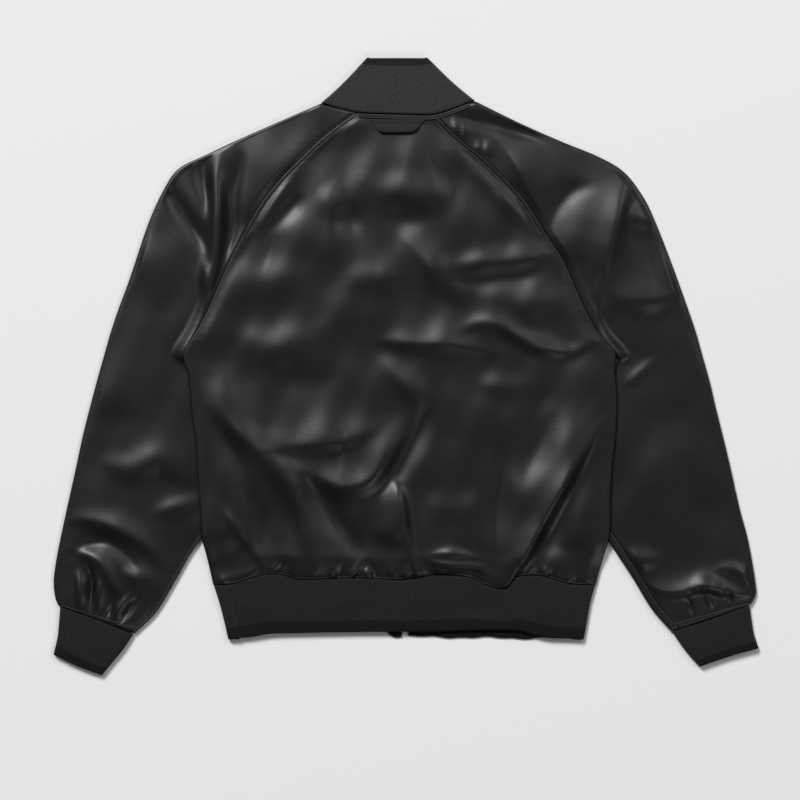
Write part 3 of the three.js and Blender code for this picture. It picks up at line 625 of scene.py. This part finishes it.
def sleeve(side):
    coarse = []
    for row, lift in zip(RAGLAN[side], RAGLAN_LIFT):
        coarse.append(sleeve_row(row[:2], row[2:4], row[4:], LIFT * lift, 0))
    for row in ARM[side]:
        coarse.append(sleeve_row(row[:2], row[2:], row[:2], 0, UNDERARM_RETURN[side]))
    grid = resample(coarse, 185)
    rows = np.linspace(0, 1, len(grid))[:, None]
    column = np.arange(grid.shape[1])
    across = np.clip(column / TOP_COLUMNS, 0, 1)[None]
    on_top = (column < TOP_COLUMNS + 2)[None] * smooth(across, 0.01, 0.1) * (1 - smooth(across, 0.94, 1.0))
    inside = np.sin(math.pi * across) ** 0.7 * (column < TOP_COLUMNS)[None]
    bulge = SLEEVE_PUFF * inside * smooth(1 - rows, 0, 0.08) * smooth(rows, 0, 0.15)
    creases = crease_height(grid, SLEEVE_CREASES[side]) + 0.5 * slack(grid)
    from_start = np.linalg.norm(grid[..., :2] - grid[:, :1, :2], axis=2)
    creases += puckers(grid[..., 1] + 40, from_start) * (rows < 0.45)
    grid[..., 2] += bulge + creases * on_top * smooth(1 - rows, 0.0, 0.015)
    grid[..., 2] = np.maximum(grid[..., 2], np.where(on_top > 0.5, SATIN_LOW + 2.2, 0.7))
    obj = shell(f"sleeve_{side}", grid, SATIN, satin, grain=SLEEVE_GRAIN * outward_of(side))
    finish_piece(obj, [f"sleeve_{side}"])
    return grid


# Back


# Distances of the back's columns from the start of its top, at each side; the rest are even
EDGE_COLUMNS = (0.7, 1.4, 2.1, 2.8, 3.3, 3.7, 4.1, 4.6, 5.4, 6.6, 8.4, 11)
MIDDLE_COLUMNS = 150
ROLL_COLUMNS = 7
# Levels of the back's first rows, close together at the hem seam, in rows of its table
HEM_LEVELS = (0, 0.03, 0.06, 0.1, 0.15, 0.21, 0.3, 0.42)
BACK_ROWS = 172
# The strip sewn along the upper raglan seams: its width, its height, and where it ends
STRIP_WIDTH = 4.6
STRIP_HEIGHT = 0.8
STRIP_END_Y = 164


def back():
    """The back panel: it rolls round the side folds, and into the raglan and hem seams."""
    left, right = [], []
    for y, west, east, tuck, lift in SIDES:
        left.append((west, y, tuck, LIFT * lift, 1))
        right.append((east, y, tuck, LIFT * lift, 1))
    for i in range(len(RAGLAN_LIFT) - 1, -1, -1):
        left.append((*RAGLAN["left"][i][:2], RAGLAN_TUCK[i], LIFT * RAGLAN_LIFT[i], 0))
        right.append((*RAGLAN["right"][i][:2], RAGLAN_TUCK[i], LIFT * RAGLAN_LIFT[i], 0))
    place = np.concatenate([HEM_LEVELS, np.linspace(0.55, len(left) - 1, BACK_ROWS)])
    left, right = resample_at(left, place), resample_at(right, place)
    rows, level = len(place), (place / place[-1])[:, None]
    way = right[:, :2] - left[:, :2]
    way /= np.linalg.norm(way, axis=1)[:, None]
    fold = left[:, 4]
    radius = 0.75 + ((SATIN_TOP - SATIN_LOW) / 2 - 0.75) * fold
    start = left[:, :2] + way * (radius + SATIN / 2 * fold + SEAM)[:, None]
    end = right[:, :2] - way * (radius + SATIN / 2 * fold + SEAM)[:, None]
    width = np.linalg.norm(end - start, axis=1)
    near = np.array(EDGE_COLUMNS)
    middle = np.linspace(0, 1, MIDDLE_COLUMNS)[None]
    inner = near[-1] + 1 + (width[:, None] - 2 * near[-1] - 2) * middle
    distance = np.hstack([np.zeros((rows, 1)), np.tile(near, (rows, 1)), inner])
    distance = np.hstack([distance, width[:, None] - near[::-1], width[:, None]])
    top = start[:, None] + way[:, None] * distance[..., None]
    angle = np.linspace(1, 0, ROLL_COLUMNS, endpoint=False)[None] * (math.pi / 2) * (1 + 0.9 * fold[:, None])
    out = radius[:, None] * np.sin(angle)
    roll_left = start[:, None] - way[:, None] * out[..., None]
    roll_right = (end[:, None] + way[:, None] * out[..., None])[:, ::-1]
    drop = radius[:, None] * (1 - np.cos(angle))
    flat = np.concatenate([roll_left, top, roll_right], axis=1)
    drop = np.hstack([drop, np.zeros(distance.shape), drop[:, ::-1]])
    from_left = np.hstack([np.zeros(angle.shape), distance, np.tile(width[:, None], (1, ROLL_COLUMNS))])
    from_right = width[:, None] - from_left
    grid = np.dstack([flat, -drop])
    hem = resample(np.array(HEM_BACK, float), 200)
    target = np.interp(grid[..., 0], hem[:, 0], hem[:, 1]) + SEAM
    grid[..., 1] += (target - HEM_Y) * np.clip(1 - level / 0.2, 0, 1) ** 2
    edge = np.minimum(from_left, from_right)
    shift = (radius + SATIN / 2 * fold - 0.75)[:, None]
    fade_left = 1 - smooth((from_left + shift - left[:, None, 2] - 4) / 60, 0, 1)
    fade_right = 1 - smooth((from_right + shift - right[:, None, 2] - 4) / 60, 0, 1)
    inside = smooth(edge + shift, 0, 110) * smooth(level, 0, 0.08) * smooth(1 - level, 0, 0.12)
    height = SATIN_TOP + left[:, None, 3] * fade_left + right[:, None, 3] * fade_right + BODY_PUFF * inside
    at_hem = grid[..., 1] - target
    free = smooth(edge + shift, 1, 16) * smooth(at_hem, 0, 5) * smooth(1 - level, 0, 0.03)
    gathers = np.zeros(grid.shape[:2])
    for x, rise, reach, length, lean in HEM_GATHERS:
        aside = grid[..., 0] - x - lean * at_hem
        gathers += rise * np.exp(-((aside / (reach + at_hem * 0.16)) ** 2)) * (1 - smooth(at_hem, 2, length))
    bulge = 1.8 * smooth(at_hem, 0, 8) * (1 - smooth(at_hem, 10, 45))
    extra = (crease_height(grid, BACK_CREASES) + slack(grid) + bulge) * free
    extra += gathers * smooth(edge, 1, 10) * smooth(at_hem, -0.5, 2.5)
    strip = smooth(grid[..., 1], STRIP_END_Y, STRIP_END_Y + 8) * smooth(1 - level, 0, 0.012)
    welt = STRIP_HEIGHT * (1 - smooth(edge, STRIP_WIDTH - 0.9, STRIP_WIDTH - 0.2))
    welt -= 0.55 * np.exp(-(((edge - STRIP_WIDTH + 0.7) / 0.6) ** 2))
    extra += puckers(grid[..., 1], edge) * smooth(grid[..., 1], 0, 20)
    height = np.maximum(height + extra, SATIN_LOW + 2.4)
    height += strip * welt
    height -= SEAM_DROP * (1 - smooth(at_hem, 0, 2.6))
    grid[..., 2] += height
    return shell("back_panel", grid, SATIN, satin, grain=0), grid


# Fronts


def front(side):
    out = outward_of(side)
    total = len(SIDES) + len(RAGLAN_LIFT) - 1
    coarse = []
    for i, (y, west, east, tuck, lift) in enumerate(SIDES):
        edge = west if side == "left" else east
        zip_y = HEM_Y + (FRONT_NECK_Y - HEM_Y) * i / total
        rise = LIFT * lift
        start = np.array([middle_x(zip_y) + out * ZIP_SPACE, y])
        end = np.array([edge - out * SIDE_RETURN, y])
        near = end + unit(start - end) * 21
        row = np.vstack([line(start, near, 40), line(near, end, FOLD_POINTS + RETURN_COLUMNS, True)])
        gap = np.abs(row[:, 0] - edge)
        height = SATIN_LOW + rise * (1 - smooth(gap, tuck + 4, tuck + 34))
        coarse.append(np.hstack([row, height[:, None]]))
    steps = len(RAGLAN_LIFT)
    for i in range(steps - 1, -1, -1):
        zip_y = HEM_Y + (FRONT_NECK_Y - HEM_Y) * (total - i) / total
        start = np.array([middle_x(zip_y) + out * ZIP_SPACE, zip_y])
        under = np.asarray(RAGLAN[side][i][4:], float)
        end = under + unit(start - under) * SEAM
        near = end + unit(start - end) * 21
        row = np.vstack([line(start, near, 40), line(near, end, FOLD_POINTS + RETURN_COLUMNS, True)])
        share = np.linalg.norm(row - start, axis=1) / np.linalg.norm(end - start)
        row[:, 1] -= 44 * share * (1 - share) * ((steps - 1 - i) / (steps - 1)) ** 4
        height = SATIN_LOW + LIFT * RAGLAN_LIFT[i] * (1 - smooth(np.linalg.norm(row - end, axis=1), 4, 30))
        coarse.append(np.hstack([row, height[:, None]]))
    grid = resample(coarse, 120)
    obj = shell(f"front_{side}", grid, SATIN, satin)
    finish_piece(obj, [f"front_{side}"])


# Ribs


def wales(grid, columns_per_wale, height):
    """Raises the wales of a rib along its columns."""
    column = np.arange(grid.shape[1])
    wave = height * np.cos(2 * math.pi * column / columns_per_wale)
    normal = np.cross(np.gradient(grid, axis=1), np.gradient(grid, axis=0))
    normal /= np.maximum(np.linalg.norm(normal, axis=2, keepdims=True), 1e-9)
    return grid + normal * wave[None, :, None]


# Soft swells of the rib hem: x, y, height
RIB_SWELLS = [(-196, -300, 3.2), (-82, -294, 3), (28, -290, 3.4), (168, -306, 2.4), (96, -304, -2)]


def hem_back():
    hem = resample(np.array(HEM_BACK, float), 300)
    sides = resample(np.array(HEM_SIDES, float), 22)
    reach = RIB / 2 + (RIB_TOP - RIB_LOW) / 2 + HEM_RETURN + SEAM
    columns = 760
    grid = np.empty((22, columns, 3))
    for r, (along, west, east) in enumerate(sides):
        x = np.linspace(west + reach, east - reach, columns)
        top = np.interp(x, hem[:, 0], hem[:, 1]) - 2 * SEAM
        drop = np.interp(x, hem[:, 0], hem[:, 2])
        wave = 0.9 * np.sin(x / 23 + 1.0) * math.sin(math.pi * along) + 0.7 * np.sin(x / 11 + 2.2) * (1 - along) * along * 2
        for swell_x, swell_y, swell in RIB_SWELLS:
            y = top * (1 - along) + drop * along
            wave += swell * np.exp(-(((x - swell_x) / 24) ** 2) - ((y - swell_y) / 13) ** 2) * math.sin(math.pi * along) ** 0.5
        grid[r] = np.stack([x, top * (1 - along) + drop * along, RIB_TOP + wave], -1)
    grid = wales(grid, 4, 0.16)
    obj = shell("hem_back", grid, RIB, rib_hem)
    finish_piece(obj, ["hem_back"])


def hem_front(side):
    out = outward_of(side)
    inward = np.array([-out, 0.0])
    corner = HEM_BACK[0 if side == "left" else -1][2]
    hem = resample(np.array(HEM_BACK, float), 100)
    coarse = []
    for along, west, east in resample(np.array(HEM_SIDES, float), 14):
        edge = west if side == "left" else east
        top_y = HEM_Y - SEAM
        side_y = top_y + (corner - top_y) * along
        zip_y = top_y + (HEM_DROP_Y - top_y) * along
        round_fold = turn((edge, side_y), inward, inward, RIB_LOW, RIB_TOP, RIB)
        start = np.array([middle_x(zip_y) + out * 4.0, zip_y, RIB_LOW])
        floor = line(start, round_fold[0], 220)
        if side == "left":
            hidden = np.interp(floor[:, 0], hem[:, 0], hem[:, 2]) + 1.2
            floor[:, 1] += along * np.maximum(hidden - floor[:, 1], 0) * smooth(abs(floor[:, 0]), 12, 30)
        floor[:, 1] += along * (0.9 * np.sin(floor[:, 0] / 13) + 0.6 * np.sin(floor[:, 0] / 5.2 + 1))
        last = round_fold[-1] + np.array([-out * HEM_RETURN, 0, 0])
        coarse.append(np.vstack([floor, round_fold, line(round_fold[-1], last, 12, True)[1:]]))
    grid = np.array(coarse)
    obj = shell(f"hem_front_{side}", grid, RIB, rib_hem)
    finish_piece(obj, [f"hem_front_{side}"])


def cuff(side):
    coarse = []
    for inner_x, inner_y, outer_x, outer_y in resample(np.array(CUFF[side], float), 20):
        inner, outer = np.array([inner_x, inner_y]), np.array([outer_x, outer_y])
        out = unit(outer - inner)
        outer_fold = turn(outer, -out, -out, RIB_TOP, RIB_LOW, RIB)
        inner_fold = turn(inner, out, out, RIB_LOW, RIB_TOP, RIB)
        upper = line(inner_fold[-1], outer_fold[0], 150)
        lower = line(outer_fold[-1], inner_fold[0], 60)
        coarse.append(np.vstack([upper, outer_fold, lower[1:], inner_fold[:-1]]))
    grid = np.array(coarse)
    bend = np.sin(np.linspace(0, math.pi, 150))
    level = np.linspace(0, 1, 20)[:, None]
    grid[:, :150, 2] += 1.4 * bend * np.sin(math.pi * level)
    axis = unit(np.array(CUFF[side][-1][:2], float) - np.array(CUFF[side][0][:2], float))
    puff = 2.2 if side == "left" else -2.4
    grid[:, :150, :2] += (puff * bend[None, :, None] * (level[..., None] - 0.4)) * axis
    obj = shell(f"cuff_{side}", grid, RIB, rib_cuff, closed=True)
    finish_piece(obj, [f"cuff_{side}"])


def collar():
    halves = []
    for side, tip_x in (("left", -49), ("right", 27)):
        out = outward_of(side)
        neck = RAGLAN[side][0]
        seam, fold, under = (np.array(neck[i:i + 2], float) for i in (0, 2, 4))
        tip = np.array([tip_x, COLLAR_TOP_Y - 0.2], float)
        crease = unit(tip - fold)
        zip_low = np.array([middle_x(FRONT_NECK_Y) + out * ZIP_SPACE, FRONT_NECK_Y])
        share = np.linspace(0, 1, 46)[:, None]
        low = zip_low * (1 - share) + under * share
        low[:, 1] -= (44 * share * (1 - share))[:, 0]
        low = np.vstack([low, line(under, fold, 24)[1:20]]) + np.array([-out * 0.5, 1.9])
        fold_low = turn(fold + crease * 1.9, unit(under - fold), unit(seam - fold), RIB_LOW, RIB_TOP, RIB)
        level_in = np.array([-out, -0.12])
        fold_top = turn(tip, level_in, level_in, RIB_LOW, RIB_TOP, RIB)
        zip_top = np.array([zip_low[0], FRONT_NECK_Y + COLLAR_HEIGHT])
        pull = np.array([tip_x - out * 6, zip_top[1] + 8])
        t = np.linspace(0, 1, len(low), endpoint=False)[:, None]
        top = zip_top * (1 - t) ** 2 + 2 * pull * t * (1 - t) + fold_top[0, :2] * t**2
        flat_low = np.hstack([low, np.full((len(low), 1), RIB_LOW)])
        flat_top = np.hstack([top, np.full((len(top), 1), RIB_LOW)])
        halves.append((np.vstack([flat_low, fold_low]), np.vstack([flat_top, fold_top])))
    corners = [halves[0][0][-1]]
    corners += [np.array([*RAGLAN[side][0][:2], RIB_TOP]) + np.array([0, 1.9, 0]) for side in ("left", "right")]
    corners.append(halves[1][0][-1])
    seam_line = np.vstack([line(corners[0], corners[1], 60), line(corners[1], corners[2], 130), line(corners[2], corners[3], 60)])
    seam_line[:, 1] -= 2.0 * np.sin(np.linspace(0, math.pi, 250)) ** 0.5
    spread = np.pad(seam_line, ((15, 15), (0, 0)), mode="reflect", reflect_type="odd")
    seam_line = np.array([spread[i:i + 31].mean(0) for i in range(250)])
    top_line = line(halves[0][1][-1], halves[1][1][-1], 250)
    low = np.vstack([halves[0][0], seam_line[1:], halves[1][0][::-1]])
    high = np.vstack([halves[0][1], top_line[1:], halves[1][1][::-1]])
    level = np.linspace(0, 1, 26)[:, None, None]
    grid = low[None] * (1 - level) + high[None] * level
    first = len(halves[0][0])
    span = slice(first, first + 249)
    centre = (halves[0][1][-1, 0] + halves[1][1][-1, 0]) / 2
    grid[..., 0] = centre + (grid[..., 0] - centre) * (1 - 0.034 * np.sin(math.pi * level[..., 0]))
    bow = np.sin(np.linspace(0, math.pi, 249))
    grid[:, span, 2] += 2.2 * bow * np.sin(math.pi * np.linspace(0, 1, 26))[:, None]
    obj = shell("collar_rib", grid, RIB, rib_collar)
    finish_piece(obj, ["collar_rib"])
    return seam_line


sleeve_grids = {side: sleeve(side) for side in ("left", "right")}
back_panel, back_grid = back()
for side in ("left", "right"):
    front(side)
    hem_front(side)
    cuff(side)
hem_back()
neck_line = collar()


# Stitches


def stitches(name, path, pitch=3.0, length=2.1, width=0.55):
    """A row of stitches along points on the cloth, as one mesh of small rounded bars."""
    path = np.asarray(path, float)
    travel = np.concatenate([[0], np.cumsum(np.linalg.norm(np.diff(path, axis=0), axis=1))])
    points, faces = [], []
    for start in np.arange(0, travel[-1] - length, pitch):
        ends = np.array([[np.interp(start + d, travel, path[:, k]) for k in range(3)] for d in (0, length / 2, length)])
        along = unit(ends[2] - ends[0])
        across = unit(np.cross(along, (0, 0, 1)))
        first = len(points)
        for middle, swell in zip(ends, (0.55, 1, 0.55)):
            for angle in np.linspace(0, 2 * math.pi, 6, endpoint=False):
                offset = across * math.cos(angle) + np.array([0, 0, 1]) * math.sin(angle)
                points.append(middle + offset * width / 2 * swell)
        for ring in range(2):
            for k in range(6):
                a, b = first + ring * 6 + k, first + ring * 6 + (k + 1) % 6
                faces.append((a, b, b + 6, a + 6))
        faces.append(tuple(first + k for k in range(5, -1, -1)))
        faces.append(tuple(first + 12 + k for k in range(6)))
    mesh = bpy.data.meshes.new(name)
    mesh.from_pydata((np.array(points) * MM).tolist(), [], faces)
    mesh.shade_smooth()
    # The thread's light grey is mostly a painted highlight along the seams.
    mesh.materials.append(thread_painted_highlight)
    obj = bpy.data.objects.new(name, mesh)
    bpy.context.scene.collection.objects.link(obj)
    ride_detail(obj)


# Trims on the upper back


upper_cloth = np.vstack([
    back_grid[:, ROLL_COLUMNS:-ROLL_COLUMNS].reshape(-1, 3),
    *(grid[:, :TOP_COLUMNS].reshape(-1, 3) for grid in sleeve_grids.values()),
])


def height_on_back(x, y):
    distance = (upper_cloth[:, 0] - x) ** 2 + (upper_cloth[:, 1] - y) ** 2
    return upper_cloth[np.argmin(distance), 2]


NECK_TAPE_WIDTH = 5.2


def neck_tape():
    """The tape over the back neck seam, from the left raglan seam to the collar's right corner."""
    top = neck_line[62:-2, :2] - (0, 1.7)
    grid = []
    for drop in np.linspace(0, NECK_TAPE_WIDTH, 7):
        row = top - (0, drop)
        height = np.array([height_on_back(x, y) for x, y in top - (0, NECK_TAPE_WIDTH)])
        height = np.convolve(np.pad(height, 4, mode="edge"), np.ones(9) / 9, "valid")
        grid.append(np.column_stack([row, height + SATIN / 2 + TAPE / 2 + 0.3]))
    grid = np.array(grid)
    obj = shell("neck_tape", grid, TAPE, satin, grain=0)
    ride_detail(obj)
    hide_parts("neck_tape")
    for name, row in (("neck_stitches_top", 1), ("neck_stitches_low", -2)):
        stitches(name, grid[row] + (0, 0, TAPE / 2 + 0.1), 2.4, 1.7, 0.5)
    return obj


def hanger_loop():
    outline = [(307.4, -45, 23), (301, -40.5, 18), (296, -36.5, 14), (293.2, -33, 10), (291.6, -28, 5)]
    grid = []
    for y, west, east in resample(outline, 26):
        x = np.linspace(west, east, 40)
        rise = 0.6 + 0.6 * (1 - smooth(abs(306.2 - y), 0.6, 1.4)) + 3.2 * smooth(307.4 - y, 2, 14)
        height = [height_on_back(px, y) + SATIN / 2 + TAPE / 2 + rise for px in x]
        grid.append(np.column_stack([x, np.full(40, y), height]))
    obj = shell("hanger_loop", grid, TAPE * 1.3, tape)
    finish_piece(obj, ["hanger_loop"])


finish_piece(
    back_panel, ["back_panel"],
    with_pieces=[neck_tape()],
)
hanger_loop()


# Zip


def zip_side(side):
    out = outward_of(side)
    grid = []
    for y in np.linspace(-322, 212, 90):
        rise = 0.9 * (1 - smooth(y, -279, -267))
        section = [(0.3, 1.1), (2.2, 1.1), (3.4, 2.9 + rise), (8, 2.9 + rise), (13, 2.9 + rise)]
        grid.append([(middle_x(y) + out * x, y, z) for x, z in section])
    obj = shell(f"zip_{side}", grid, TAPE, tape)
    finish_piece(obj, [f"zip_{side}"])


def boxes(name, centres, size, made_of):
    corners = np.array([(x, y, z) for z in (-1, 1) for y in (-1, 1) for x in (-1, 1)], float) * np.asarray(size) / 2
    quads = np.array([(0, 2, 3, 1), (4, 5, 7, 6), (0, 1, 5, 4), (2, 6, 7, 3), (0, 4, 6, 2), (1, 3, 7, 5)])
    points = np.concatenate([corners + centre for centre in centres])
    faces = np.concatenate([quads + 8 * i for i in range(len(centres))])
    mesh = bpy.data.meshes.new(name)
    mesh.from_pydata((points * MM).tolist(), [], faces.tolist())
    mesh.materials.append(made_of)
    obj = bpy.data.objects.new(name, mesh)
    bpy.context.scene.collection.objects.link(obj)
    return obj


for side in ("left", "right"):
    zip_side(side)
teeth = []
for i, y in enumerate(np.arange(-320, 210, 1.5)):
    teeth.append((middle_x(y) + (0.7 if i % 2 else -0.7), y, 1.1))
ride_detail(boxes("zip_teeth", teeth, (2.6, 0.9, 1.9), metal))

slider = boxes("zip_slider_body", [(middle_x(218), 218, 2.2)], (7.6, 10.6, 3.4), metal)
bevel = slider.modifiers.new("rounded", "BEVEL")
bevel.width = 0.0009
bevel.segments = 3
ride_detail(slider)
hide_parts("zip_slider")


def on_back(points, lift=0.25):
    return [(x, y, height_on_back(x, y) + SATIN / 2 + lift) for x, y in points]


for side, inward in (("left", 1), ("right", -1)):
    seam = resample([row[:2] for row in RAGLAN[side][:7]], 120)
    seam = seam[(seam[:, 1] > 164) & (seam[:, 1] < 308)]
    tangent = np.gradient(seam, axis=0)
    tangent /= np.linalg.norm(tangent, axis=1)[:, None]
    normal = np.column_stack([tangent[:, 1], -tangent[:, 0]]) * (1 if side == "right" else -1)
    if normal[0, 0] * inward < 0:
        normal = -normal
    stitches(f"raglan_stitches_{side}", on_back(seam + normal * 5.2))


for side, grid in sleeve_grids.items():
    edge = grid[-3, 1:TOP_COLUMNS] + (0, 0, SATIN / 2 + 0.1)
    stitches(f"cuff_stitches_{side}", edge, 2.9, 1.9, 0.6)
hem = resample(np.array(HEM_BACK, float), 300)[6:-6]
stitches("hem_stitches", on_back(hem[:, :2] + (0, 2.0), 0.15), 2.9, 1.9, 0.7)


# Floor, light and camera

floor_mesh = bpy.data.meshes.new("floor")
floor_mesh.from_pydata([(-4, -4, 0), (4, -4, 0), (4, 4, 0), (-4, 4, 0)], [], [(0, 1, 2, 3)])
floor = bpy.data.objects.new("floor", floor_mesh)
bpy.context.scene.collection.objects.link(floor)
floor_material, _, _, floor_shader = material("pale_floor", (0.8, 0.8, 0.8), 0.95, 0.1)
floor_mesh.materials.append(floor_material)


def area_light(name, location, size, power, target=(0, 0, 0)):
    light = bpy.data.lights.new(name, "AREA")
    light.shape = "RECTANGLE"
    light.size, light.size_y = size
    light.energy = power
    obj = bpy.data.objects.new(name, light)
    obj.location = location
    direction = np.array(target, float) - np.array(location, float)
    obj.rotation_euler = bpy_vector(direction).to_track_quat("-Z", "Y").to_euler()
    bpy.context.scene.collection.objects.link(obj)


def bpy_vector(values):
    from mathutils import Vector
    return Vector([float(v) for v in values])


area_light("key", (-5.0, 8.6, 10.2), (4.4, 4.4), 2040)
area_light("fill", (6.4, 5.2, 8.6), (4.6, 4.6), 260)
area_light("low", (4.8, -6.8, 7.8), (4.8, 3.0), 170)
world = bpy.data.worlds.new("studio")
world.use_nodes = True
world.node_tree.nodes["Background"].inputs[0].default_value = (1, 1, 1, 1)
world.node_tree.nodes["Background"].inputs[1].default_value = 0.08
bpy.context.scene.world = world
bpy.context.scene.view_settings.view_transform = "Standard"

camera_data = bpy.data.cameras.new("camera")
camera_data.lens = 100
camera_data.sensor_width = 36
camera = bpy.data.objects.new("camera", camera_data)
camera.location = (-0.0075, -0.0417, 2.7778)
bpy.context.scene.collection.objects.link(camera)
bpy.context.scene.camera = camera
